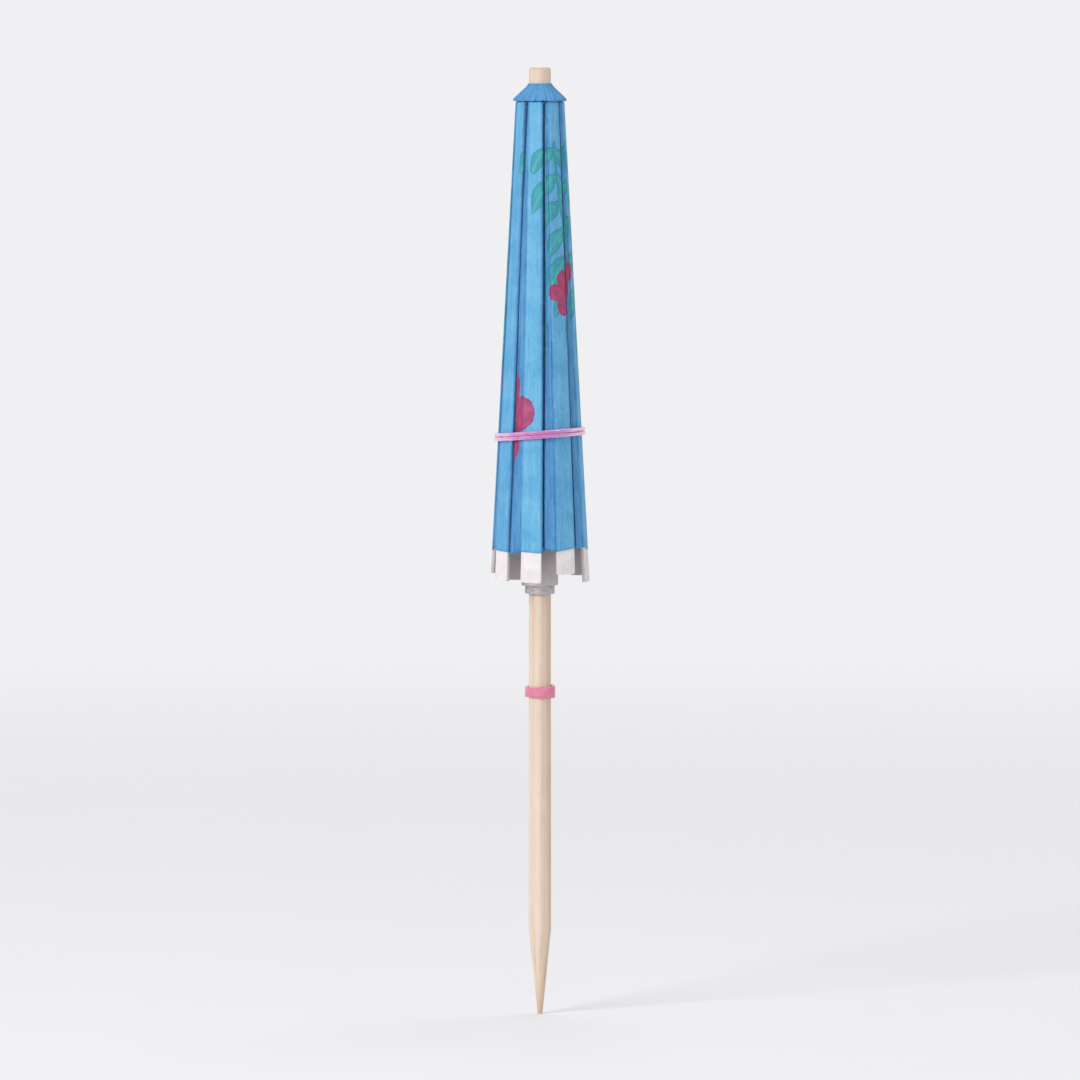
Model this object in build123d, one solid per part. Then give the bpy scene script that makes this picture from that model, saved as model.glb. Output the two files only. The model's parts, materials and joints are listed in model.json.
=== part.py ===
"""Cocktail umbrella pick, furled: a wooden pick with a folding card frame and a paper canopy.

Millimetres, +Z up along the stick, with the origin at the stick's point.
Each rib hangs from a crease at the head. A strut ties it to a runner that slides on the stick.
"""

import os
from math import atan2, cos, degrees, hypot, radians, sin, tan

from build123d import *

# Wooden stick
STICK_LENGTH = 100.0
STICK_RADIUS = 1.17
POINT_LENGTH = 9.0
POINT_FLAT_RADIUS = 0.25
SHANK_LENGTH = 23.0
HEAD_EASE = 0.02  # the stick thins by this much above the shank, so that the runner slides freely
HEAD_CHAMFER = 0.2

# Fits on the stick and inside the runner
SLIDING_CLEARANCE = 0.06
GLUE_GAP = 0.02

# Runner: a rolled newsprint sleeve, a card collar on it and the disc of the strut star
SLEEVE_WALL = 0.38
COLLAR_WALL = 0.37
COLLAR_LENGTH = 6.6
SLEEVE_PEEK = 0.9
SLEEVE_RISE = 1.8
STRUT_DISC_THICKNESS = 0.4

# Card ribs, folded down from the disc of the rib star
RIB_COUNT = 8
FIRST_RIB_AZIMUTH = 259.0
RIB_LENGTH = 50.0
RIB_THICKNESS = 0.4
RIB_TIP_WIDTH = 2.2
RIB_ROOT_GAP = 0.4
RIB_CORNER_RADIUS = 0.25
TIP_UNEVENNESS = 0.5
CLOSED_ANGLE = 3.0
CREASE_CLEARANCE = 0.05

# Card struts
STRUT_SEAT = 22.0
STRUT_WIDTH = 1.2
STRUT_THICKNESS = 0.35
STRUT_CLEARANCE = 0.06
FOOT_CLEARANCE = 0.075

# Head: the rib star's disc, the collar that carries it and a small paper cap
HEAD_PROJECTION = 3.8
HUB_COLLAR_LENGTH = 5.0
CAP_RADIUS = 2.9
CAP_EDGE = 0.25
CAP_HEIGHT = 1.7
CAP_CLEARANCE = 0.12
CAP_TOP_WIDTH = 0.35

# Paper canopy
PAPER_THICKNESS = 0.1
PAPER_START = 1.2
PAPER_END = 47.0
PAPER_LAP = 0.04
FOLD_CLEARANCE = 0.05
FOLD_TOP_DEPTH = 0.37
FOLD_RIM_DEPTH = 1.2
FOLD_MEETING_GAP = 0.03

# Retaining ring on the stick and closing band round the furled canopy
RING_RADIUS = 1.6
RING_LENGTH = 1.5
RING_ROUNDING = 0.18
RING_BELOW_RUNNER = 9.6
BAND_ABOVE_RIM = 12.2
BAND_STRAND_RADIUS = 0.3
BAND_STRAND_SPACING = 0.46
BAND_CLEARANCE = 0.06
BAND_TILT = 4.0

# Places that follow from the sizes above
half_pitch = radians(180 / RIB_COUNT)
closed = radians(CLOSED_ANGLE)
sleeve_bore = STICK_RADIUS + SLIDING_CLEARANCE
sleeve_radius = sleeve_bore + SLEEVE_WALL
collar_bore = sleeve_radius + GLUE_GAP
collar_radius = collar_bore + COLLAR_WALL
hinge_radius = collar_radius + FOOT_CLEARANCE + STRUT_THICKNESS / 2
hinge_height = STICK_LENGTH - HEAD_PROJECTION
rib_root_width = 2 * (hinge_radius - RIB_THICKNESS / 2) * tan(half_pitch) - RIB_ROOT_GAP
strut_drop = RIB_THICKNESS / 2 + STRUT_CLEARANCE + STRUT_THICKNESS / 2
strut_length = hypot(STRUT_SEAT, strut_drop)
strut_angle = closed - atan2(strut_drop, STRUT_SEAT)
foot_height = hinge_height - 2 * strut_length * cos(strut_angle)
disc_bottom = foot_height - STRUT_DISC_THICKNESS / 2
collar_bottom = disc_bottom - GLUE_GAP - COLLAR_LENGTH
sleeve_bottom = collar_bottom - SLEEVE_PEEK
ring_bottom = sleeve_bottom - RING_BELOW_RUNNER - RING_LENGTH
glued_bore = STICK_RADIUS + GLUE_GAP


def tube(outer, bore, bottom, length):
    """A round tube on the stick's axis."""
    wall = Cylinder(outer, length) - Cylinder(bore, length)
    return Pos(0, 0, bottom + length / 2) * wall


def turned(points):
    """A solid of revolution about the stick from (radius, height) points."""
    outline = Polyline(*[(r, 0, z) for r, z in points], close=True)
    return revolve(make_face(outline), Axis.Z)


def card_frame(azimuth, radius, height, angle):
    """A frame on a card's crease: X along the crease, Y back up the card, Z out of its outer face.

    The angle is measured outwards from straight down.
    """
    a = radians(azimuth)
    outward = Vector(cos(a), sin(a), 0)
    along_crease = Vector(-sin(a), cos(a), 0)
    face = outward * cos(angle) + Vector(0, 0, 1) * sin(angle)
    return Plane(origin=outward * radius + Vector(0, 0, height), x_dir=along_crease, z_dir=face)


def flat_card(outline, bottom, thickness):
    """A sheet of the given outline, lying between two heights above its frame."""
    return Pos(0, 0, bottom) * extrude(make_face(outline), thickness)


def crease(width, thickness, distance=0.0):
    """The round fold at a card's end, as wide as the card there."""
    return Pos(0, -distance, 0) * Rot(0, 90, 0) * Cylinder(thickness / 2, width)


def rib_half_width(s):
    """Half of the rib's width at a distance from its crease."""
    share = s / RIB_LENGTH
    return (rib_root_width + (RIB_TIP_WIDTH - rib_root_width) * share) / 2


def rib_length(number):
    """The ribs are cut by hand, so their tips end a little unevenly."""
    return RIB_LENGTH + TIP_UNEVENNESS * sin(2.4 * number)


def rib_card(number):
    """A tapered card strip with a round crease at the head and eased corners at the tip."""
    length = rib_length(number)
    root, tip = rib_half_width(0), rib_half_width(length)
    outline = Polyline((-root, 0), (root, 0), (tip, -length), (-tip, -length), close=True)
    card = flat_card(outline, -RIB_THICKNESS / 2, RIB_THICKNESS)
    corners = card.edges().filter_by(Axis.Z).sort_by(Axis.Y)[:2]
    return fillet(corners, RIB_CORNER_RADIUS) + crease(rib_root_width, RIB_THICKNESS)


def canopy_strip():
    """The stretch of canopy paper that is glued along a rib's outer face."""
    top = rib_half_width(PAPER_START) + PAPER_LAP
    rim = rib_half_width(PAPER_END) + PAPER_LAP
    outline = Polyline(
        (-top, -PAPER_START), (top, -PAPER_START), (rim, -PAPER_END), (-rim, -PAPER_END), close=True
    )
    return flat_card(outline, RIB_THICKNESS / 2, PAPER_THICKNESS)


def fold_section(s, depth, side):
    """The fold's section at a distance down the rib: from the rib's edge in to the middle of the gore."""
    outer = RIB_THICKNESS / 2 + PAPER_THICKNESS
    edge = rib_half_width(s) + PAPER_LAP + FOLD_CLEARANCE
    middle = (hinge_radius + s * sin(closed) - depth * cos(closed)) * tan(half_pitch)
    inner = middle - FOLD_MEETING_GAP - PAPER_THICKNESS
    points = [
        (edge, outer),
        (edge + PAPER_THICKNESS, outer),
        (inner + PAPER_THICKNESS, -depth),
        (inner, -depth),
    ]
    return make_face(Polyline(*[(side * x, -s, z) for x, z in points], close=True))


def canopy_fold(side):
    """Half a gore of canopy paper, folded in between two ribs."""
    top = fold_section(PAPER_START + RIB_THICKNESS, FOLD_TOP_DEPTH, side)
    rim = fold_section(PAPER_END, FOLD_RIM_DEPTH, side)
    return loft([top, rim], ruled=True)


def strut_card():
    """A card strip with a round crease at each end."""
    half = STRUT_WIDTH / 2
    outline = Polyline((-half, 0), (half, 0), (half, -strut_length), (-half, -strut_length), close=True)
    card = flat_card(outline, -STRUT_THICKNESS / 2, STRUT_THICKNESS)
    ends = crease(STRUT_WIDTH, STRUT_THICKNESS) + crease(STRUT_WIDTH, STRUT_THICKNESS, strut_length)
    return card + ends


def stick():
    """The pick: a sharpened point, a straight shank and a stick that thins by a hair to its head."""
    shank_top = POINT_LENGTH + SHANK_LENGTH
    head = STICK_RADIUS - HEAD_EASE
    return turned([
        (0, 0),
        (POINT_FLAT_RADIUS, 0),
        (STICK_RADIUS, POINT_LENGTH),
        (STICK_RADIUS, shank_top),
        (head, STICK_LENGTH - HEAD_CHAMFER),
        (head - HEAD_CHAMFER, STICK_LENGTH),
        (0, STICK_LENGTH),
    ])


def crown_cap():
    """The small paper cone that is glued on the stick over the ribs' creases."""
    base = hinge_height + RIB_THICKNESS / 2 + PAPER_THICKNESS + CAP_CLEARANCE
    return turned([
        (glued_bore, base),
        (CAP_RADIUS, base),
        (CAP_RADIUS, base + CAP_EDGE),
        (glued_bore + CAP_TOP_WIDTH, base + CAP_HEIGHT),
        (glued_bore, base + CAP_HEIGHT),
    ])


def retaining_ring():
    """The soft plastic ring that grips the stick and holds the runner up."""
    ring = tube(RING_RADIUS, glued_bore, ring_bottom, RING_LENGTH)
    return fillet(ring.edges().filter_by(GeomType.CIRCLE), RING_ROUNDING)


def closing_band():
    """The elastic band round the furled canopy: one ring with two ridges, lying a little askew."""
    rim_height = hinge_height - PAPER_END * cos(closed)
    height = rim_height + BAND_ABOVE_RIM
    reach = (hinge_height - height + BAND_STRAND_SPACING + BAND_STRAND_RADIUS) / cos(closed)
    face = hinge_radius + reach * sin(closed) + RIB_THICKNESS / 2 + PAPER_THICKNESS
    corner = hypot(face, rib_half_width(reach) + PAPER_LAP)
    radius = corner + BAND_CLEARANCE + BAND_STRAND_RADIUS + BAND_STRAND_SPACING / 2 * tan(radians(BAND_TILT))
    strand = Torus(radius, BAND_STRAND_RADIUS)
    pair = Pos(0, 0, BAND_STRAND_SPACING / 2) * strand + Pos(0, 0, -BAND_STRAND_SPACING / 2) * strand
    return Pos(0, 0, height) * Rot(0, -BAND_TILT, 0) * pair


pieces = {
    "stick": stick(),
    "hub_disc": tube(
        hinge_radius - RIB_THICKNESS / 2 - CREASE_CLEARANCE,
        glued_bore,
        hinge_height - RIB_THICKNESS / 2,
        RIB_THICKNESS,
    ),
    "hub_collar": tube(
        collar_radius,
        glued_bore,
        hinge_height - RIB_THICKNESS / 2 - GLUE_GAP - HUB_COLLAR_LENGTH,
        HUB_COLLAR_LENGTH,
    ),
    "crown_cap": crown_cap(),
    "newsprint_sleeve": tube(
        sleeve_radius, sleeve_bore, sleeve_bottom, foot_height + SLEEVE_RISE - sleeve_bottom
    ),
    "runner_collar": tube(collar_radius, collar_bore, collar_bottom, COLLAR_LENGTH),
    "strut_disc": tube(collar_radius, collar_bore, disc_bottom, STRUT_DISC_THICKNESS),
    "retaining_ring": retaining_ring(),
    "closing_band": closing_band(),
}

for number in range(1, RIB_COUNT + 1):
    azimuth = FIRST_RIB_AZIMUTH + (number - 1) * 360 / RIB_COUNT
    rib_frame = card_frame(azimuth, hinge_radius, hinge_height, closed).location
    seat_radius = hinge_radius + strut_length * sin(strut_angle)
    seat_height = hinge_height - strut_length * cos(strut_angle)
    strut_frame = card_frame(azimuth, seat_radius, seat_height, -strut_angle).location
    pieces[f"rib_{number}"] = rib_frame * rib_card(number)
    pieces[f"canopy_strip_{number}"] = rib_frame * canopy_strip()
    pieces[f"canopy_fold_{number}_left"] = rib_frame * canopy_fold(-1)
    pieces[f"canopy_fold_{number}_right"] = rib_frame * canopy_fold(1)
    pieces[f"strut_{number}"] = strut_frame * strut_card()

os.makedirs("parts", exist_ok=True)
for name, piece in pieces.items():
    export_step(piece, f"parts/{name}.step")

print(f"hinge radius {hinge_radius:.4f}, hinge height {hinge_height:.4f}, foot height {foot_height:.4f}")
print(f"strut length {strut_length:.5f}, strut angle {degrees(strut_angle):.5f}")
print(f"sleeve bottom {sleeve_bottom:.4f}, ring bottom {ring_bottom:.4f}")
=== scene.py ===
import json
from math import cos, pi, radians, sin, tan

import bmesh
import bpy
import numpy as np
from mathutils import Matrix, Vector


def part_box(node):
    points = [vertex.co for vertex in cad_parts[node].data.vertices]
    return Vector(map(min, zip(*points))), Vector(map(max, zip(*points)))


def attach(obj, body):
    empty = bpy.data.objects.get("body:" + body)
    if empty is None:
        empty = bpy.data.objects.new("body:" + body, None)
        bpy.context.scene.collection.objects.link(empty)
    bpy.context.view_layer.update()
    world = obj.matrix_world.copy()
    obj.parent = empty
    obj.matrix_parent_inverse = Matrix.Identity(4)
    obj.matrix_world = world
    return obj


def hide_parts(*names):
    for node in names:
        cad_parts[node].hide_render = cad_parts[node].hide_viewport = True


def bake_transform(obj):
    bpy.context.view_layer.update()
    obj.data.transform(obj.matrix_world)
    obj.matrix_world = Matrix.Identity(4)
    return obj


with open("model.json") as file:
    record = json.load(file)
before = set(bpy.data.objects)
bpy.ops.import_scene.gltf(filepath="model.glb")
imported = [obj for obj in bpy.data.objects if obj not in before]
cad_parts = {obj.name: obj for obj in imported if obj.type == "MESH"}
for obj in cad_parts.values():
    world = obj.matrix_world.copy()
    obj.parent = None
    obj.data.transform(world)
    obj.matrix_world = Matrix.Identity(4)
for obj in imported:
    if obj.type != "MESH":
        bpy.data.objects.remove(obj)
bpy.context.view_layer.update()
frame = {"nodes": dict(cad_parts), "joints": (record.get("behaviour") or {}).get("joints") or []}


# The pick: a birch dowel about 2.3 mm thick, turned round and sharpened to a short point.
# Bare wood, with long fine grain, a few dark pores and open end grain on its cut head.
mm = 0.001


def surface(name, points, wrap=False, flip=False, sharp=35.0, **fields):
    """A mesh of four-sided faces over a grid of points (rows, columns, 3) in millimetres.

    wrap joins the last column to the first. Points that coincide, as at a pole, are merged.
    Each field is a grid of numbers or vectors over the same points, kept as an attribute.
    """
    rows, columns = points.shape[:2]
    number = np.arange(rows * columns).reshape(rows, columns)
    if wrap:
        number = np.hstack([number, number[:, :1]])
    corners = [number[:-1, :-1], number[:-1, 1:], number[1:, 1:], number[1:, :-1]]
    faces = np.stack([c.ravel() for c in (corners[::-1] if flip else corners)], axis=1)
    mesh = bpy.data.meshes.new(name)
    mesh.from_pydata((points.reshape(-1, 3) * mm).tolist(), [], faces.tolist())
    for field, values in fields.items():
        vector = values.ndim == 3
        kept = mesh.attributes.new(field, "FLOAT_VECTOR" if vector else "FLOAT", "POINT")
        kept.data.foreach_set("vector" if vector else "value", values.astype(np.float32).ravel())
    merged = bmesh.new()
    merged.from_mesh(mesh)
    bmesh.ops.remove_doubles(merged, verts=merged.verts, dist=1e-7)
    merged.to_mesh(mesh)
    merged.free()
    mesh.shade_smooth()
    mesh.set_sharp_from_angle(angle=radians(sharp))
    piece = bpy.data.objects.new(name, mesh)
    bpy.context.scene.collection.objects.link(piece)
    return piece


class Shade:
    """One socket of a material's nodes. Operators on it add Math nodes, and node() adds any other node."""

    def __init__(self, tree, socket=None):
        self.tree, self.socket = tree, socket

    def node(self, kind, inputs=None, output=0, **settings):
        """Adds a node with its settings, then its sockets' values or links, and gives one of its outputs."""
        made = self.tree.nodes.new("ShaderNode" + kind)
        for setting, value in settings.items():
            setattr(made, setting, value)
        for socket, value in (inputs or {}).items():
            if isinstance(value, Shade):
                self.tree.links.new(value.socket, made.inputs[socket])
            else:
                made.inputs[socket].default_value = value
        return Shade(self.tree, made.outputs[output])

    def math(self, operation, *values):
        """One Math node on numbers or sockets."""
        return self.node("Math", dict(enumerate(values)), operation=operation)

    def __add__(self, other):
        return self.math("ADD", self, other)

    def __sub__(self, other):
        return self.math("SUBTRACT", self, other)

    def __rsub__(self, other):
        return self.math("SUBTRACT", other, self)

    def __mul__(self, other):
        return self.math("MULTIPLY", self, other)

    def step(self, low, high):
        """0 below low, 1 above high and a smooth rise between them."""
        return self.node("MapRange", {"Value": self, "From Min": low, "From Max": high},
                         interpolation_type="SMOOTHSTEP")

    def mix(self, below, above):
        """From one colour to another as this value goes from 0 to 1."""
        return self.node("Mix", {0: self, 6: below, 7: above}, output=2, data_type="RGBA")

    def place(self, stretch=(1, 1, 1)):
        """The point on the object in millimetres, stretched per axis."""
        point = self.node("TexCoord", output=3)
        return self.node("Mapping", {"Vector": point, "Scale": [1000 * s for s in stretch]})

    def field(self, name, output=2):
        """A number kept on the mesh, or its vector with output 1."""
        return self.node("Attribute", output=output, attribute_type="GEOMETRY", attribute_name=name)

    def noise(self, point, scale, detail=3.0, rough=0.55):
        """Soft random grain from 0 to 1 over a point in millimetres."""
        return self.node("TexNoise", {"Vector": point, "Scale": scale, "Detail": detail, "Roughness": rough})


def rgb(red, green, blue):
    """A colour as it is seen on a screen, 0 to 255, in the linear light that the shader works in."""
    part = np.array([red, green, blue]) / 255
    return (*np.where(part <= 0.04045, part / 12.92, ((part + 0.055) / 1.055) ** 2.4).tolist(), 1.0)


def finish(name, paint, **constants):
    """A material: paint gives its colour, roughness, height in millimetres and perhaps alpha from a Shade."""
    made = bpy.data.materials.new(name)
    made.use_nodes = True
    tree = made.node_tree
    body = tree.nodes["Principled BSDF"]
    for socket, value in constants.items():
        body.inputs[socket.replace("_", " ")].default_value = value
    colour, roughness, height, *alpha = paint(Shade(tree))
    bump = height.node("Bump", {"Height": height, "Distance": mm, "Strength": 1.0})
    varied = zip(("Base Color", "Roughness", "Normal", "Alpha"), (colour, roughness, bump, *alpha))
    for socket, value in varied:
        tree.links.new(value.socket, body.inputs[socket])
    return made


def wear(piece, material, body, slot, *replaced):
    """Gives a piece its material, and sets it on a body in place of CAD nodes. The slot is not used."""
    piece.data.materials.clear()
    piece.data.materials.append(material)
    if replaced:
        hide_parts(*replaced)
    if body:
        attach(piece, body)
    return piece


def birch(shade):
    """Long fibres drawn out along the stick, rare dark pores, and a darker sawn head."""
    fibre = shade.noise(shade.place((1, 1, 0.05)), 2.6, 4.0)
    streak = shade.noise(shade.place((1, 1, 0.012)), 1.1, 2.0)
    pore = shade.noise(shade.place((1, 1, 0.035)), 9.0, 1.0).step(0.64, 0.8)
    cloud = shade.noise(shade.place(), 0.16, 2.0)
    height = shade.node("SeparateXYZ", {0: shade.place()}, output=2)
    head = height.step(99.7, 99.86)
    tip = 1 - height.step(0.1, 3.0)
    tone = streak.step(0.3, 0.72).mix(rgb(233, 214, 197), rgb(217, 190, 167))
    tone = (fibre.step(0.5, 0.8) * 0.55).mix(tone, rgb(194, 160, 134))
    tone = (cloud.step(0.45, 0.75) * 0.3).mix(tone, rgb(240, 219, 207))
    tone = (pore * 0.26).mix(tone, rgb(172, 136, 110))
    tone = (head * 0.55).mix(tone, rgb(203, 170, 134))
    tone = (tip * 0.35).mix(tone, rgb(190, 152, 116))
    return tone, fibre * 0.18 + 0.52, fibre * 0.035 - pore * 0.012


def pick():
    """Radius over height: a cone to the point, a straight shank, and a hair's taper to the head.

    Shallow flats are left on the point by the sharpening, and the shank is a little out of round.
    """
    radius, _, length = np.array(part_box("stick")[1]) / mm
    point, shank_top, ease = 9.0, 32.0, 0.2
    height = np.concatenate([np.linspace(0, point, 40), np.linspace(point, length - ease, 220)[1:],
                             length - ease + ease * np.array([0.4, 0.8, 1.0])])
    turn = np.linspace(0, 2 * pi, 64, endpoint=False)
    rim = np.interp(height, [0, point, shank_top, length - ease, length],
                    [0.25, radius, radius, radius - 0.02, radius - ease])
    z, a = np.meshgrid(height, turn, indexing="ij")
    flats = 0.03 * np.cos(7 * a + 0.25 * z) * np.clip((point - z) / point, 0, 1) * np.clip(z / 1.5, 0, 1)
    ripple = 0.006 * np.sin(5 * a + 0.13 * z) + 0.004 * np.sin(11 * a - 0.21 * z)
    r = rim[:, None] * (1 + flats) + np.minimum(ripple, 0) * np.clip(z / 4, 0, 1)
    wall = np.stack([r * np.cos(a), r * np.sin(a), z], axis=2)
    inset = np.array([0.6, 0.3, 0.0])[:, None, None]
    flat = np.zeros((len(inset), len(turn), 1))
    head = np.concatenate([wall[-1:, :, :2] * inset, flat + length], axis=2)
    foot = np.concatenate([wall[:1, :, :2] * inset[::-1], flat], axis=2)
    return surface("wooden_pick", np.concatenate([foot, wall, head]), wrap=True)


stick_wood = finish("birch_wood", birch)
wear(pick(), stick_wood, "stick", "stick_wood", "stick")


# Plain card parts: the discs in the middle of the two stars, and the collar that holds one on the stick.
# The card is off-white outside and grey inside: a grey card back that also serves as painted shade inside the
# canopy. These parts show from below when the umbrella is open.
def off_white_card(shade):
    """Pale pulp with long fibres, small specks, greyer cut edges, and a grey inner side that is a grey card
    back and also painted shade.
    """
    point = shade.place()
    fibre = shade.noise(shade.place((1, 1, 0.07)), 4.0, 4.0)
    line = shade.noise(shade.place((1, 1, 0.015)), 3.2, 2.0)
    cloud = shade.noise(point, 0.9, 2.0)
    speck = shade.noise(point, 9.0, 1.0).step(0.70, 0.78)
    tone = cloud.step(0.3, 0.75).mix(rgb(240, 235, 237), rgb(227, 220, 223))
    tone = (line.step(0.5, 0.72) * 0.3).mix(tone, rgb(206, 197, 202))
    tone = (fibre.step(0.5, 0.8) * 0.3).mix(tone, rgb(196, 187, 191))
    tone = (speck * 0.45).mix(tone, rgb(160, 148, 148))
    # painted shade: the grey inner side stands for the shade inside the canopy, as well as a grey card back
    grey_back_shade_tone = (cloud * 0.6 + fibre * 0.4).mix(rgb(176, 167, 170), rgb(198, 189, 190))
    tone = (shade.field("grey_side") * 0.8).mix(tone, grey_back_shade_tone)
    tone = (shade.field("cut_edge") * 0.55).mix(tone, rgb(186, 175, 174))
    return tone, fibre * 0.12 + 0.72, fibre * 0.03 + line * 0.02 + cloud * 0.015


card = finish("off_white_card", off_white_card)
for part in ("hub_disc", "hub_collar", "strut_disc"):
    wear(frame["nodes"][part], card, None, "card")


# Eight ribs: tapered strips of 0.4 mm card that hang from the crease round the head's disc.
# Their square-cut ends stand out below the paper's rim, a little uneven, with eased corners.
joints = {joint["name"]: joint for joint in frame["joints"]}
rib_numbers = range(1, 9)
rib_length, rib_root, rib_tip, rib_thick = 50.0, 0.649, 1.1, 0.4
rib_taper = (rib_tip - rib_root) / rib_length


def rib_half_width(s):
    """Half of a rib's width, a straight taper that widens away from the crease."""
    return rib_root + rib_taper * np.clip(s, 0, None)


def rib_frame(number):
    """The crease's point in millimetres, and the directions down the rib, across it and out of its face."""
    hinge = joints[f"rib_{number}_crease"]
    across = -np.array(hinge["axis"])
    out = np.array(joints[f"fold_{number}_right_spread"]["axis"])
    return np.array(hinge["pos_m"]) / mm, np.cross(across, out), across, out


def on_card(placed, s, x, h):
    """The point s along a card, x across it and h above its middle."""
    origin, along, across, out = placed
    return origin + s[..., None] * along + x[..., None] * across + h[..., None] * out


def card_loop(flat=9, edge=3, bend=4):
    """A strip's section, from its outer face round both edges.

    The place on the flats, across and up, runs from -1 to 1. The two other rows are the cosine
    and sine of the turn on the round corners.
    """
    corner = np.linspace(pi / 2, 0, bend)
    under = -corner[:0:-1]
    face = np.linspace(-1, 1, flat)[:-1]
    side = np.linspace(1, -1, edge)[1:-1]
    across = [face, np.ones(2 * bend + edge - 3)]
    up = [np.ones(flat - 1 + bend), side, -np.ones(bend - 1)]
    round_x = [0 * face, np.cos(corner), 0 * side + 1, np.cos(under)]
    round_h = [0 * face + 1, np.sin(corner), 0 * side, np.sin(under)]
    half = [np.concatenate(part) for part in (across, up, round_x, round_h)]
    return [np.concatenate([part, -part]) for part in half]


def strip(name, place, s, half_width, half_thickness, corner=0.05, grey_outside=False):
    """A rounded rectangle carried along s. Where its thickness falls to nothing, the end is closed.

    The inner face is marked grey, a grey card back that is also painted shade, and the outer face too on a
    strip rolled grey side out.
    """
    x_flat, h_flat, x_round, h_round = card_loop()
    ease = np.minimum(corner, half_thickness)[:, None]
    x = x_flat * (half_width[:, None] - ease) + ease * x_round
    h = h_flat * (half_thickness[:, None] - ease) + ease * h_round
    edge = np.maximum(np.where(np.abs(x_round) > 0.9, 1.0, 0.0), (half_thickness <= 0)[:, None])
    grey = np.where((h_flat < -0.9) | (grey_outside & (h_flat > 0.9)), 1.0, 0.0)
    points = place(np.broadcast_to(s[:, None], x.shape), x, h)
    return surface(name, points, wrap=True, cut_edge=edge, grey_side=np.broadcast_to(grey, x.shape))


def round_end(thickness, steps=5):
    """A crease's half-round end: how far it stands out, and its thickness there."""
    bend = np.linspace(pi / 2, 0, steps)[:-1]
    return -thickness / 2 * np.sin(bend), thickness / 2 * np.cos(bend)


def rib(number):
    """Half width over length is a straight taper; the free end's corners are rounded and its cut is askew."""
    placed = rib_frame(number)
    length = rib_length + 0.5 * sin(2.4 * number)
    ease = 0.22
    out_s, out_t = round_end(rib_thick)
    straight = np.linspace(0, length - ease, 60)
    corner = length - ease + ease * np.sin(np.linspace(0, pi / 2, 6))[1:]
    s = np.concatenate([out_s, straight, corner, [length]])
    rounded = np.clip((s - (length - ease)) / ease, 0, 1)
    width = rib_half_width(s) - ease * (1 - np.sqrt(1 - rounded ** 2))
    half = np.concatenate([out_t, np.full(len(straight) + len(corner), rib_thick / 2), [0.0]])
    bare, skew, curl = 6.0, 0.05 * sin(1.7 * number + 0.4), 0.10 * sin(2.9 * number)

    def place(s, x, h):
        """The end is cut askew, and the bare card below the paper curls a little in or out."""
        free = np.clip((s - (rib_length - bare)) / bare, 0, 1) ** 2
        return on_card(placed, s + skew * x * free, x, h + curl * free)

    return strip(f"rib_card_{number}", place, s, width, half)


for number in rib_numbers:
    wear(rib(number), card, f"rib_{number}", "card", f"rib_{number}")


# Eight struts: narrow card strips from the middle of each rib down to the runner.
# Each has a round crease at both ends, where the strut star and the rib were folded.
def strut(number):
    """A plain strip from its crease on the rib to the one on the runner, straight below the rib's crease."""
    seat = np.array(joints[f"strut_{number}_crease"]["pos_m"]) / mm
    hinge, _, across, _ = rib_frame(number)
    foot = np.array([hinge[0], hinge[1], 2 * seat[2] - hinge[2]])
    length = float(np.linalg.norm(foot - seat))
    along = (foot - seat) / length
    placed = seat, along, across, np.cross(along, across)
    thick, half_width, rows = 0.35, 0.6, 24
    out_s, out_t = round_end(thick)
    s = np.concatenate([out_s, np.linspace(0, length, rows), length - out_s[::-1]])
    half = np.concatenate([out_t, np.full(rows, thick / 2), out_t[::-1]])
    return strip(f"strut_card_{number}", lambda *point: on_card(placed, *point), s,
                 np.full(len(s), half_width), half)


for number in rib_numbers:
    wear(strut(number), card, f"strut_{number}", "card", f"strut_{number}")


# The runner: a sleeve rolled from a strip of grey newsprint, in a collar rolled from two turns of card.
# It slides on the stick, and its rolled end peeps out below the ribs.
def rolled(name, bore, radius, turns, bottom, top, slant, start):
    """A strip wound in a spiral: its radius grows evenly with the turn, and its ends are cut askew."""
    pitch = (radius - bore) / turns
    turn = np.linspace(0, 2 * pi * turns, int(48 * turns) + 1)
    middle = bore + pitch / 2 + (radius - bore - pitch) * turn / turn[-1]
    half = np.full(len(turn), 0.42 * pitch)
    s = np.concatenate([turn[:1], turn, turn[-1:]])
    half = np.concatenate([[0.0], half, [0.0]])

    def place(s, x, h):
        """Round the stick by the angle s, where the two ends lean in a slow wave."""
        r = np.interp(s, turn, middle) + h
        lean = slant * np.sin(s + 0.7) + 0.4 * slant * np.sin(2.3 * s)
        z = (bottom + top) / 2 + x + lean * np.sign(x) * np.clip(np.abs(x) / (top - bottom) * 2, 0, 1)
        return np.stack([r * np.cos(s + start), r * np.sin(s + start), z], axis=-1)

    tall = np.full(len(s), (top - bottom) / 2 - abs(slant) * 1.4)
    return strip(name, place, s, tall, half, corner=0.02, grey_outside=True)


def newsprint_paper(shade):
    """Thin grey pulp with soft clouds of ink that show no letters."""
    point = shade.place()
    fibre = shade.noise(shade.place((1, 1, 0.3)), 7.0, 4.0)
    ink = shade.noise(shade.place((1, 1, 1.6)), 2.4, 2.0).step(0.5, 0.68)
    cloud = shade.noise(point, 0.8, 2.0)
    tone = cloud.step(0.3, 0.7).mix(rgb(206, 200, 202), rgb(186, 180, 184))
    tone = (ink * 0.45).mix(tone, rgb(132, 126, 134))
    tone = (fibre.step(0.55, 0.8) * 0.35).mix(tone, rgb(226, 220, 218))
    return tone, fibre * 0.1 + 0.8, fibre * 0.02


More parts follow.
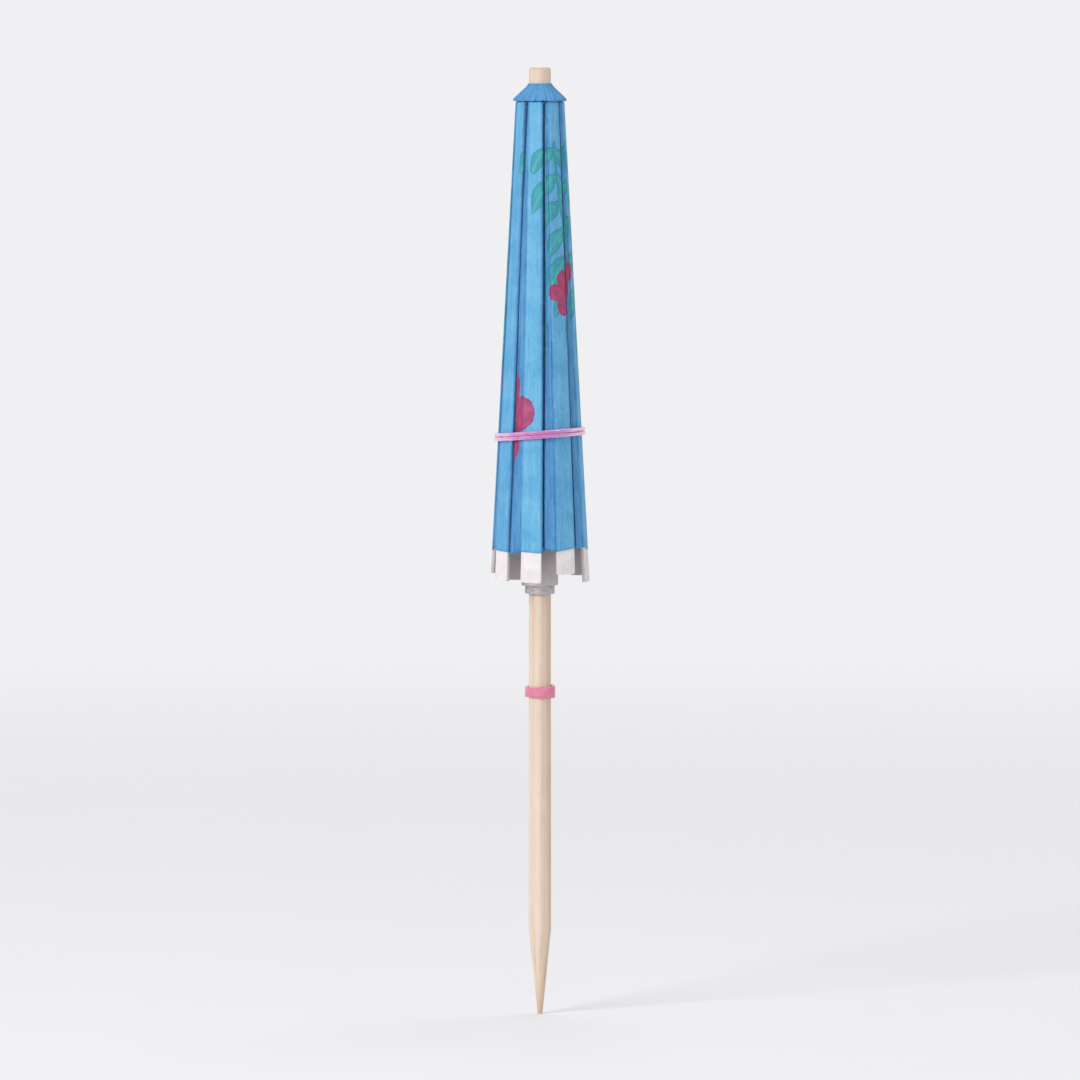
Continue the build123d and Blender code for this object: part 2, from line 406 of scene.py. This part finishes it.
newsprint = finish("grey_newsprint", newsprint_paper)
low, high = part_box("newsprint_sleeve")
wear(rolled("newsprint_roll", 1.235, 1.605, 4.0, low.z / mm, high.z / mm, 0.06, -2.1),
     newsprint, "runner", "newsprint", "newsprint_sleeve")
low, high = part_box("runner_collar")
wear(rolled("runner_card_roll", 1.635, 1.995, 1.6, low.z / mm, high.z / mm, 0.03, 1.1),
     card, "runner", "card", "runner_collar")


# The canopy, first its eight stretches glued along the ribs: thin blue printed paper, drawn over the card.
# The white card shines through, so these flutes are paler than the paper between the ribs.
rib_hinge, fold_hinge = joints["rib_1_crease"], joints["fold_1_right_spread"]
crease_x, crease_y, hinge_height = np.array(rib_hinge["pos_m"]) / mm
hinge_radius, first_rib = np.hypot(crease_x, crease_y), np.arctan2(crease_y, crease_x)
closed = np.arcsin(fold_hinge["axis"][2])
opened = closed + radians(rib_hinge["range_deg"][1])
fan = radians(fold_hinge["range_deg"][1])
fan_rise = np.linalg.norm(np.subtract(fold_hinge["pos_m"], rib_hinge["pos_m"])) / mm
half_pitch = pi / len(rib_numbers)
paper_end, paper_lap, paper_thick, rim_depth = 47.0, 0.10, 0.06, 7.0
paper_top, paper_edge = 0.285, 0.12  # above the rib's middle: on its face, and where the paper turns down
edge_paleness = 0.4
sheet_rows = 118
no_ink = -9.0  # a depth far outside every printed shape


def rib_edge(s):
    """How far from a rib's middle line the paper turns over its edge."""
    return rib_half_width(s) + paper_lap


def near_rim(s):
    """0 on most of the sheet, with a late rise to 1 at its cut edge."""
    return np.clip((s - (paper_end - rim_depth)) / rim_depth, 0, 1) ** 6


def uneven_cut(number, q):
    """How far the sheet's cut edge lies below its place, with q from -1 to 1 across the rib."""
    return 0.16 * sin(1.9 * number) + 0.2 * q * sin(2.7 * number)


def flat_paper(number, side, s, x, spread):
    """Where a point lies on the flat round sheet, in millimetres from the stick.

    The share of the gore's spread carries the point along its chord about the fan's centre, just above
    the crease. Its angle round the stick and its distance down the open cone are its place on the sheet.
    """
    spread_s = (s + fan_rise) * cos(fan) - x * sin(fan) - fan_rise
    spread_x = (s + fan_rise) * sin(fan) + x * cos(fan)
    out = hinge_radius + (s + spread * (spread_s - s)) * sin(opened)
    aside = x + spread * (spread_x - x)
    angle = first_rib + 2 * half_pitch * (number - 1) + side * np.arctan2(aside, out)
    distance = np.hypot(aside, out) / sin(opened)
    return np.stack([distance * np.cos(angle), distance * np.sin(angle), np.zeros_like(distance)], axis=-1)


def printed(flat):
    """Two inks on the flat sheet, each as a depth in millimetres inside its shapes.

    Leaves are pointed ovals in pairs along thin bent stems, each with its distance from a middle vein.
    Blossoms have five round petals, each with a share that falls from its middle to its sides.
    """
    x, y = flat[..., 0], flat[..., 1]
    away, around = np.hypot(x, y), np.arctan2(y, x)
    leaf, blossom = np.full(x.shape, no_ink), np.full(x.shape, no_ink)
    vein, petal = np.full(x.shape, -no_ink), np.ones(x.shape)
    first_leaf = 7.0

    def stem_angle(angle, bend, out):
        """A stem's angle round the sheet, which changes evenly with the distance from the middle."""
        return angle + bend * (out - first_leaf) / 40

    def add_leaf(px, py, aim, length, width):
        """A bowed oval, from its point at (px, py), whose half width is a sine over its length."""
        u = (x - px) * cos(aim) + (y - py) * sin(aim)
        v = -(x - px) * sin(aim) + (y - py) * cos(aim)
        along = np.clip(u / length, 0, 1)
        bow = v + 0.6 * width * along * (1 - along)
        inside = width / 2 * np.sin(pi * along ** 0.8) - np.abs(bow)
        inside = np.where((u > 0) & (u < length), inside, no_ink)
        vein[inside > leaf] = np.abs(bow)[inside > leaf]
        np.maximum(leaf, inside, out=leaf)

    def add_stem(angle, bend, reach):
        """A thin bent line from just before the first leaf out to its reach."""
        swing = np.angle(np.exp(1j * (around - stem_angle(angle, bend, away))))
        inside = 0.2 - np.abs(swing) * away
        np.maximum(leaf, np.where((away > first_leaf - 1) & (away < reach), inside, no_ink), out=leaf)

    def add_blossom(px, py, aim, size):
        """A round whose radius swings five times between its petals and the notches between them."""
        far, turn = np.hypot(x - px, y - py), np.arctan2(y - py, x - px) - aim
        share = np.abs(np.cos(2.5 * turn))
        inside = size * (0.60 + 0.40 * share ** 0.7) - far
        share = share * np.clip(2.5 * far / size - 0.2, 0, 1)
        petal[inside > blossom] = share[inside > blossom]
        np.maximum(blossom, inside, out=blossom)

    draw = np.random.default_rng(7)
    for sprig in range(9):
        angle = radians(268 + 40 * sprig) + draw.uniform(-0.08, 0.08)
        bend, reach = draw.uniform(-0.5, 0.5), draw.uniform(23, 29)
        add_stem(angle, bend, reach + 3)
        for pair in range(7):
            out = first_leaf + (reach - first_leaf) * pair / 6
            swing = stem_angle(angle, bend, out)
            px, py = out * cos(swing), out * sin(swing)
            for hand in (-1, 1):
                size = draw.uniform(4.2, 5.6) * (0.62 + 0.38 * min(1, out / 16))
                add_leaf(px, py, swing + hand * draw.uniform(0.55, 0.85), size, 0.44 * size)
        far = reach + draw.uniform(5.0, 7.5)
        turned = angle + bend * 0.6 + draw.uniform(0.12, 0.24)
        add_blossom(far * cos(turned), far * sin(turned), draw.uniform(0, 6), draw.uniform(4.2, 5.4))
        add_blossom((far - 11) * cos(turned + 0.3), (far - 11) * sin(turned + 0.3),
                    draw.uniform(0, 6), draw.uniform(2.2, 3.0))
    return {"leaf": leaf, "vein": vein, "blossom": blossom, "petal": petal}


def blue_paper(shade):
    """Dyed tissue with long fibres and soft uneven dye, printed with teal leaves and crimson blossoms, with
    painted shade along long crease lines.

    The ink is thin and pools at the edges of its shapes. Card below the sheet makes it paler.
    """
    flat = shade.field("flat_paper", output=1)
    grain = shade.field("grain", output=1)
    fibre = shade.noise(grain, 1.0, 4.0, 0.6)
    # crease: thin long lines where the paper is creased, also dented by the bump
    crease = 1 - shade.math("ABSOLUTE", shade.noise(grain, 0.32, 2.0) - 0.5).step(0.0, 0.07)
    pulp = shade.noise(shade.node("Mapping", {"Vector": grain, "Scale": (0.7, 9.0, 1.0)}), 1.0, 3.0, 0.7)
    dye = shade.noise(flat, 0.35, 3.0)
    wash = shade.noise(flat, 0.9, 4.0, 0.65)
    ragged = wash * 0.7 - 0.35
    leaf, blossom = shade.field("leaf") + ragged, shade.field("blossom") + ragged
    below = shade.field("card_below")
    loose = 1 - below * 0.65
    ground = below.mix(
        dye.step(0.3, 0.75).mix(rgb(74, 146, 205), rgb(52, 124, 190)),
        dye.step(0.3, 0.75).mix(rgb(110, 186, 226), rgb(88, 170, 216)))
    tone = (fibre.step(0.48, 0.8) * 0.32).mix(ground, rgb(158, 208, 236))
    tone = ((1 - fibre.step(0.25, 0.5)) * loose * 0.2).mix(tone, rgb(44, 108, 174))
    # painted shade: the crease lines are painted darker, less where the paper lies on card
    tone = (crease * loose * 0.24).mix(tone, rgb(46, 110, 174))
    tone = (pulp.step(0.5, 0.75) * 0.22).mix(tone, rgb(170, 214, 238))
    tone = ((1 - pulp.step(0.3, 0.5)) * 0.14).mix(tone, rgb(40, 104, 170))
    green = wash.step(0.3, 0.7).mix(rgb(16, 138, 146), rgb(54, 174, 172))
    green = ((1 - leaf.step(0.06, 0.4)) * 0.5).mix(green, rgb(8, 110, 124))
    green = ((1 - shade.field("vein").step(0.05, 0.16)) * 0.45).mix(green, rgb(120, 200, 196))
    tone = (leaf.step(-0.03, 0.05) * (wash * 0.5 + 0.5)).mix(tone, green)
    red = wash.step(0.35, 0.65).mix(rgb(192, 48, 98), rgb(162, 38, 96))
    red = ((1 - shade.field("petal").step(0.1, 0.75)) * 0.5).mix(red, rgb(140, 24, 72))
    red = ((1 - blossom.step(0.06, 0.4)) * 0.35).mix(red, rgb(142, 26, 76))
    tone = (blossom.step(-0.03, 0.05) * (wash * 0.3 + 0.74)).mix(tone, red)
    return tone, fibre * 0.14 + 0.66, (fibre * 0.05 - crease * 0.05) * loose + wash * 0.03 + pulp * 0.02


def paper_fields(number, side, s, x, spread, card_below):
    """What the paper's material reads: the place on the flat sheet, inks, grain and the card below."""
    flat = flat_paper(number, side, s, x, spread)
    across = side * (x + spread * 6.0)
    grain = np.stack([across * 6.0 + 3.1 * number, s * 0.22, np.full_like(s, 1.7 * number)], axis=-1)
    return {"flat_paper": flat, "grain": grain, "card_below": card_below, **printed(flat)}


def thicken(piece):
    """The sheet's own thickness, laid inwards from the outer face."""
    wall = piece.modifiers.new("paper_thickness", "SOLIDIFY")
    wall.thickness, wall.offset = paper_thick * mm, -1.0
    return piece


def canopy_strip(number):
    """Across the rib the paper lies flat and rounds the card's edges; at the head it rounds the crease."""
    placed = rib_frame(number)
    over = np.linspace(-1, 1, 27)
    wrap = np.linspace(1.15, 0, 7)[:-1]
    s = np.concatenate([np.zeros(len(wrap)), np.linspace(0, paper_end, sheet_rows)])
    lift = np.concatenate([wrap, np.zeros(sheet_rows)])
    s, q = np.meshgrid(s, over, indexing="ij")
    turn = np.broadcast_to(lift[:, None], s.shape)
    x = q * rib_edge(s)
    wave = 0.012 * np.sin(2.2 * q + 0.23 * s + number) * (1 - q ** 2) * np.clip(s / 3, 0, 1)
    h = paper_top - (paper_top - paper_edge) * np.abs(q) ** 9 + wave
    cut = s + near_rim(s) * uneven_cut(number, q)
    points = on_card(placed, cut - h * np.sin(turn), x, h * np.cos(turn))
    on_rib = np.clip((rib_edge(s) - 0.06 - np.abs(x)) / 0.16, 0, 1)
    card_below = (edge_paleness + (1 - edge_paleness) * on_rib) * (0.9 + 0.1 * sin(2.1 * number))
    piece = surface(f"canopy_paper_{number}", points, flip=True,
                    **paper_fields(number, 1, s, x, np.zeros_like(s), card_below))
    return thicken(piece)


canopy_paper = finish("blue_printed_paper", blue_paper)
for number in rib_numbers:
    wear(canopy_strip(number), canopy_paper, f"rib_{number}", "canopy_paper", f"canopy_strip_{number}")


# The paper between the ribs: each gore is folded once, and its pleat is laid over to the left.
# The left half spans the gap and tucks in by the next rib; the right half goes straight down behind it.
fold_room = 0.42


def inverse_smoothstep(share):
    """The parameter at which a smoothstep reaches a share."""
    return 0.5 - np.sin(np.arcsin(1 - 2 * share) / 3)


def middle_of_gore(s, depth, lean):
    """How far from the rib's edge the gore's middle plane lies, at a depth along a leaning direction."""
    reach = hinge_radius + s * sin(closed) + cos(closed) * (paper_edge - depth * cos(lean))
    slope = cos(lean) + tan(half_pitch) * cos(closed) * sin(lean)
    return (tan(half_pitch) * reach - rib_edge(s) + depth * sin(lean)) / slope


def half_gore(number, side, hand):
    """Rows run down the rib; columns run from its edge to the bottom of the fold.

    The last ones go down the fold's bottom.
    """
    placed = rib_frame(number)
    visible = side < 0
    lean = radians(20) if visible else 0.0
    panel = 0.12
    spread_columns = np.concatenate([np.linspace(0, panel, 9), np.linspace(panel, 1, 37)[1:]])
    bottom_columns = np.linspace(0, 1, 7)[1:]
    columns = np.concatenate([spread_columns, np.ones(len(bottom_columns))])
    down_rib, share = np.meshgrid(np.linspace(0, 1, sheet_rows), columns, indexing="ij")
    head = np.interp(share, [panel, 0.4], [-0.22, 0.1]) if visible else 0.1
    s = head + (paper_end - head) * down_rib
    down = np.broadcast_to(np.concatenate([0 * spread_columns, bottom_columns]), s.shape)
    fin = 0.03 + 0.42 * np.clip(s, 0, None) / paper_end
    depth = fold_room * inverse_smoothstep(share) + fin * down
    middle = middle_of_gore(s, depth, lean)
    if visible:
        slit = 0.2 + 0.1 * cos(1.3 * (number - 2)) + 0.05 * np.sin(0.17 * s + 2.0 * number)
        reach = 2 * middle_of_gore(s, 0.0, lean) - slit
        out = np.clip(share / panel, 0, 1)
        back = np.clip((share - panel) / (1 - panel), 0, 1)
        sway = (1 - np.cos(pi * np.minimum(1, back * 1.6))) / 2
        y = reach * np.sin(out * pi / 2) ** 0.9 * (1 - sway) + (middle - 0.02) * sway
    else:
        y = 0.02 + (middle - 0.04) * down ** 1.3
    x = rib_edge(s) - depth * sin(lean) + y * cos(lean)
    h = paper_edge - depth * cos(lean) - y * sin(lean)
    ends = uneven_cut(number, side)
    slope = (0.42 * sin(2.3 * number + 0.8 * side) - ends) * np.sin(pi / 2 * np.clip(share / panel, 0, 1))
    cut = s + near_rim(s) * (ends + slope * (1 - 0.8 * share) - 0.5 * down)
    card_below = edge_paleness * np.clip(1 - share / panel, 0, 1) ** 1.5
    piece = surface(f"canopy_gore_{number}_{hand}", on_card(placed, cut, side * x, h), flip=side > 0,
                    sharp=60, **paper_fields(number, side, s, x, share, card_below))
    thicken(piece)
    _, along, across, out_of = placed
    start = on_card(placed, np.array(0.0), np.array(side * rib_edge(0.0)), np.array(paper_edge))
    inwards = -cos(lean) * out_of - side * sin(lean) * across + rib_taper * sin(lean) * along
    end = start + fold_room * inwards / np.linalg.norm(inwards)
    (start * mm).tolist()
    (end * mm).tolist()
    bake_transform(piece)
    return piece


for number in rib_numbers:
    for side, hand in ((-1, "left"), (1, "right")):
        gore = half_gore(number, side, hand)
        wear(gore, canopy_paper, None, "canopy_paper", f"canopy_fold_{number}_{hand}")


# The cap: a small cone of the same blue paper, gathered round the stick over the creases and glued.
# Its gathers are pressed into soft pleats, its lower edge waves, and its neck clings to the stick.
def crown():
    """Radius over height is a cone with a short neck. Pleats swing both with the turn, most at its edge."""
    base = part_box("crown_cap")[0].z / mm
    turn = np.linspace(0, 2 * pi, 240, endpoint=False)
    underside = [[1.18, -0.06], [1.8, -0.06], [2.45, -0.07], [2.74, -0.14], [2.82, -0.12], [2.84, -0.05]]
    cone = [[2.76, 0.10], [2.55, 0.32], [2.28, 0.58], [2.0, 0.85], [1.74, 1.10], [1.52, 1.31]]
    neck = [[1.40, 1.45], [1.32, 1.56], [1.285, 1.66], [1.25, 1.70], [1.18, 1.68]]
    outline = np.array(underside + cone + neck)
    r = outline[:, :1] + 0 * turn
    edge = np.clip((r - 1.30) / 1.5, 0, 1) ** 1.2
    above = np.clip((outline[:, 1:] + 0.2) / 0.1, 0.25, 1)
    phase = 17 * turn + 0.9 * np.sin(3 * turn) + 0.6 * np.sin(5 * turn + 1)
    pleat = np.arcsin(0.96 * np.sin(phase)) / (pi / 2) + 0.35 * np.sin(2.3 * phase + 1.0)
    r = r + (0.075 * pleat - 0.07) * edge * above
    z = base + outline[:, 1:] + (0.055 * pleat + 0.02 * np.sin(3 * turn)) * edge * above
    points = np.stack([r * np.cos(turn), r * np.sin(turn), z], axis=-1)
    grain = np.stack([np.broadcast_to(turn * 14, r.shape), r * 0.6, 0 * r], axis=-1)
    plain = np.full(r.shape, no_ink)
    fields = {"flat_paper": points, "grain": grain, "card_below": 0 * r + 0.2,
              "leaf": plain, "vein": -plain, "blossom": plain, "petal": -plain}
    return surface("gathered_cap", np.concatenate([points, points[:1]]), wrap=True,
                   **{name: np.concatenate([value, value[:1]]) for name, value in fields.items()})


wear(crown(), canopy_paper, "stick", "canopy_paper", "crown_cap")


# The retaining ring: a slice of soft pink tube, pushed on the stick to hold the runner up.
# The slice is cut a little askew and its edges are rounded.
def soft_pink(shade):
    """Even translucent pink with a faint cloudiness and fine cutting lines round the ring."""
    cloud = shade.noise(shade.place(), 1.4, 2.0)
    lines = shade.noise(shade.place((0.3, 0.3, 5)), 3.0, 2.0)
    tone = cloud.step(0.3, 0.7).mix(rgb(250, 152, 182), rgb(243, 132, 166))
    return tone, cloud * 0.12 + 0.32, lines * 0.02


def ring():
    """A rounded rectangle turned about the stick; its top and bottom faces lean with the turn."""
    low, high = (np.array(corner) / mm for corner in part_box("retaining_ring"))
    x_flat, z_flat, x_round, z_round = card_loop(flat=5, edge=6, bend=7)
    turn = np.linspace(0, 2 * pi, 72, endpoint=False)[:, None]
    bore, radius, ease = 1.195, 1.59, 0.17
    wall, tall = (radius - bore) / 2, (high[2] - low[2]) / 2
    r = (bore + radius) / 2 + x_flat * (wall - ease) + ease * x_round
    askew, ripple = 0.11, 0.03
    lean = askew * np.sin(turn + 0.6) + ripple * np.sin(3 * turn)
    level = z_flat * (tall - ease - askew - ripple + lean) + ease * z_round
    z = (low[2] + high[2]) / 2 + level
    swell = r + 0.025 * np.sin(2 * turn + 1.0) * (x_flat > 0)
    points = np.stack([swell * np.cos(turn), swell * np.sin(turn), z], axis=-1)
    points = np.concatenate([points, points[:1]])
    return surface("soft_ring", points, wrap=True, sharp=80)


ring_plastic = finish("soft_pink_plastic", soft_pink, Transmission_Weight=0.2, IOR=1.45, Coat_Weight=0.3,
                      Subsurface_Weight=0.4, Subsurface_Scale=0.0008, Subsurface_Radius=(1.0, 0.35, 0.5))
wear(ring(), ring_plastic, "retaining_ring", "ring_plastic", "retaining_ring")


# The closing band: one thin pink elastic loop, wound twice round the furled canopy.
# Its two turns lie side by side in front and cross at the back, a little askew on the canopy.
def clear_pink(shade):
    """Translucent pink rubber, brighter where it is stretched, with fine lines along it."""
    along = shade.field("along")
    stretch = shade.noise(shade.node("CombineXYZ", {0: along}), 3.0, 2.0)
    lines = shade.noise(shade.place((1, 1, 6)), 2.0, 2.0)
    tone = stretch.step(0.3, 0.7).mix(rgb(238, 156, 219), rgb(228, 130, 203))
    return tone, stretch * 0.1 + 0.26, lines * 0.012


def band():
    """A loop of two turns on the furled canopy's round, with a thin oval carried along it.

    The round bulges at the sixteen edges of the ribs. The turns swap levels in a steep wave, and one
    rises over the other in a bell curve where they cross.
    """
    low, high = (np.array(corner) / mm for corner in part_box("closing_band"))
    thick, tall, radius, tilt = 0.2, 0.21, 4.7, tan(radians(4.0))
    wound = np.linspace(0, 4 * pi, 480, endpoint=False)
    turn = wound - pi / 2
    x, y = np.cos(turn), np.sin(turn)
    level = 0.215 * np.tanh(3.2 * np.cos(wound / 2)) / np.tanh(3.2) + 0.035 * np.cos(2 * wound)
    over = np.where(wound > 2 * pi, 0.42 * np.exp(-((wound - 3 * pi) / 0.42) ** 2), 0.0)
    z = (low[2] + high[2]) / 2 + radius * x * tilt + level
    s = (hinge_height - z) / cos(closed)
    corner = np.hypot(hinge_radius + s * sin(closed) + paper_top - 0.02, 0.8 * rib_edge(s))
    r = corner * (0.997 - 0.007 * np.cos(16 * (turn - first_rib))) + thick + over
    oval = np.linspace(0, 2 * pi, 20, endpoint=False)
    reach = r[:, None] + thick * np.cos(oval)
    points = np.stack([reach * x[:, None], reach * y[:, None], z[:, None] + tall * np.sin(oval)], axis=-1)
    points = np.concatenate([points, points[:1]])
    along = np.broadcast_to(np.append(wound, wound[0])[:, None], points.shape[:2])
    return surface("elastic_band", points, wrap=True, sharp=80, along=along)


band_elastic = finish("clear_pink_elastic", clear_pink, Transmission_Weight=0.42, IOR=1.48, Coat_Weight=0.3,
                      Subsurface_Weight=0.2, Subsurface_Scale=0.0006, Subsurface_Radius=(1.0, 0.4, 0.6))
wear(band(), band_elastic, "closing_band", "band_elastic", "closing_band")


# The studio: a pale floor that fades out into an even pale air, and soft light from large lamps.
# The camera looks straight at the pick from a little above, through a long lens.
def stage_floor():
    """Rings of points on the ground, with the distance from the pick in metres."""
    rings, spokes = np.linspace(0, 0.7, 15) / mm, np.linspace(0, 2 * pi, 64, endpoint=False)
    away, turn = np.meshgrid(rings, spokes, indexing="ij")
    points = np.stack([away * np.cos(turn), away * np.sin(turn), 0 * away], axis=-1)
    return surface("studio_floor", points, wrap=True, flip=True, away=away * mm)


def pale_ground(shade):
    """One pale tone that thins out to nothing away from the pick."""
    grain = shade.noise(shade.place(), 0.05, 2.0)
    tone = grain.mix(rgb(240, 240, 243), rgb(238, 238, 241))
    return tone, grain * 0.02 + 0.85, grain * 0.02, 1 - shade.field("away").step(0.12, 0.6)


floor = stage_floor()
floor.data.materials.append(finish("pale_floor", pale_ground))


def lamp(name, place, size, power):
    """A square soft lamp aimed at the pick's middle."""
    light = bpy.data.lights.new(name, "AREA")
    light.size, light.energy = size, power
    made = bpy.data.objects.new(name, light)
    bpy.context.scene.collection.objects.link(made)
    made.location = place
    aim = Vector((0, 0, 0.055)) - Vector(place)
    made.rotation_euler = aim.to_track_quat("-Z", "Y").to_euler()


lamp("key_lamp", (-0.6, -0.7, 0.6), 0.45, 6.4)
lamp("fill_lamp", (0.8, -0.6, 0.35), 0.6, 1.3)
lamp("top_lamp", (0.1, 0.3, 0.9), 0.5, 2.2)

world = bpy.data.worlds.new("studio_air")
bpy.context.scene.world = world
world.use_nodes = True
air = Shade(world.node_tree)
light = air.node("Background", {"Color": (1, 1, 1, 1), "Strength": 0.46})
backdrop = air.node("Background", {"Color": rgb(240, 240, 242), "Strength": 1.0})
straight, glossy, through = (air.node("LightPath", output=f"Is {ray} Ray")
                             for ray in ("Camera", "Glossy", "Transmission"))
seen = air.node("MixShader", {0: straight + glossy + through, 1: light, 2: backdrop})
world.node_tree.links.new(seen.socket, world.node_tree.nodes["World Output"].inputs["Surface"])

camera = bpy.data.objects.new("camera", bpy.data.cameras.new("camera"))
bpy.context.scene.collection.objects.link(camera)
bpy.context.scene.camera = camera
elevation, distance, frame_height = radians(3.0), 0.9, 0.114
aim = Vector((0, 0, 0.0502))
camera.location = aim + Vector((0, -cos(elevation), sin(elevation))) * distance
camera.rotation_euler = (aim - camera.location).to_track_quat("-Z", "Y").to_euler()
camera.data.sensor_width = 36.0
camera.data.lens = 36.0 * distance / frame_height
camera.data.clip_start, camera.data.clip_end = 0.01, 20.0

bpy.context.scene.view_settings.view_transform = "Standard"
